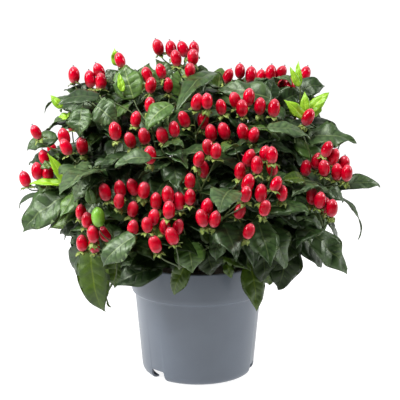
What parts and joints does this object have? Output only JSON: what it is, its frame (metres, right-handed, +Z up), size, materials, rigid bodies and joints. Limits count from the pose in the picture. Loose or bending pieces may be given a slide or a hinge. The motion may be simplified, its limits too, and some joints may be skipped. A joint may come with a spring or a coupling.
{
  "type": "potted berrying shrub",
  "caption": "Low rounded shrub with dark drooping leaves and upright red berries, in a tapered grey plastic nursery pot.",
  "frame": {"origin": "centre of the pot's flat underside", "axes": "+Z up along the pot's axis, -Y towards the side that the picture shows, +X to its right"},
  "size_m": [0.3529, 0.3681, 0.3211],
  "materials": {
    "pot_plastic": "satin",
    "potting_mix": "rough",
    "bark": "rough",
    "foliage": "satin",
    "young_foliage": "satin",
    "berries": "gloss"
  },
  "bodies": {
    "root": {"bough_back_1": "bark", "bough_back_2": "bark", "bough_back_3": "bark", "bough_back_4": "bark", "bough_back_high_1": "bark", "bough_back_high_2": "bark", "bough_back_high_3": "bark", "bough_back_skirt_1": "bark", "bough_back_skirt_2": "bark", "bough_front": "bark", "bough_front_high": "bark", "bough_front_left": "bark", "bough_front_left_high": "bark", "bough_front_right": "bark", "bough_front_right_high": "bark", "bough_left": "bark", "bough_left_high": "bark", "bough_left_low": "bark", "bough_right": "bark", "bough_right_front": "bark", "bough_skirt_far_right": "bark", "bough_skirt_front": "bark", "bough_skirt_left": "bark", "bough_skirt_right": "bark", "bough_top": "bark", "bough_top_right": "bark", "bough_upper_left": "bark", "bough_upper_right": "bark", "foliage_back_1": "foliage", "foliage_back_2": "foliage", "foliage_back_3": "foliage", "foliage_back_4": "foliage", "foliage_back_high_1": "foliage", "foliage_back_high_2": "foliage", "foliage_back_high_3": "foliage", "foliage_back_skirt_1": "foliage", "foliage_back_skirt_2": "foliage", "foliage_front": "foliage", "foliage_front_high": "foliage", "foliage_front_left": "foliage", "foliage_front_left_high": "foliage", "foliage_front_right": "foliage", "foliage_front_right_high": "foliage", "foliage_left": "foliage", "foliage_left_high": "foliage", "foliage_left_low": "foliage", "foliage_right": "foliage", "foliage_right_front": "foliage", "foliage_skirt_far_right": "foliage", "foliage_skirt_front": "foliage", "foliage_skirt_left": "foliage", "foliage_skirt_right": "foliage", "foliage_top": "foliage", "foliage_top_right": "foliage", "foliage_upper_left": "foliage", "foliage_upper_right": "foliage", "main_stem": "bark", "pot": "pot_plastic", "potting_soil": "potting_mix"}
  },
  "joints": []
}
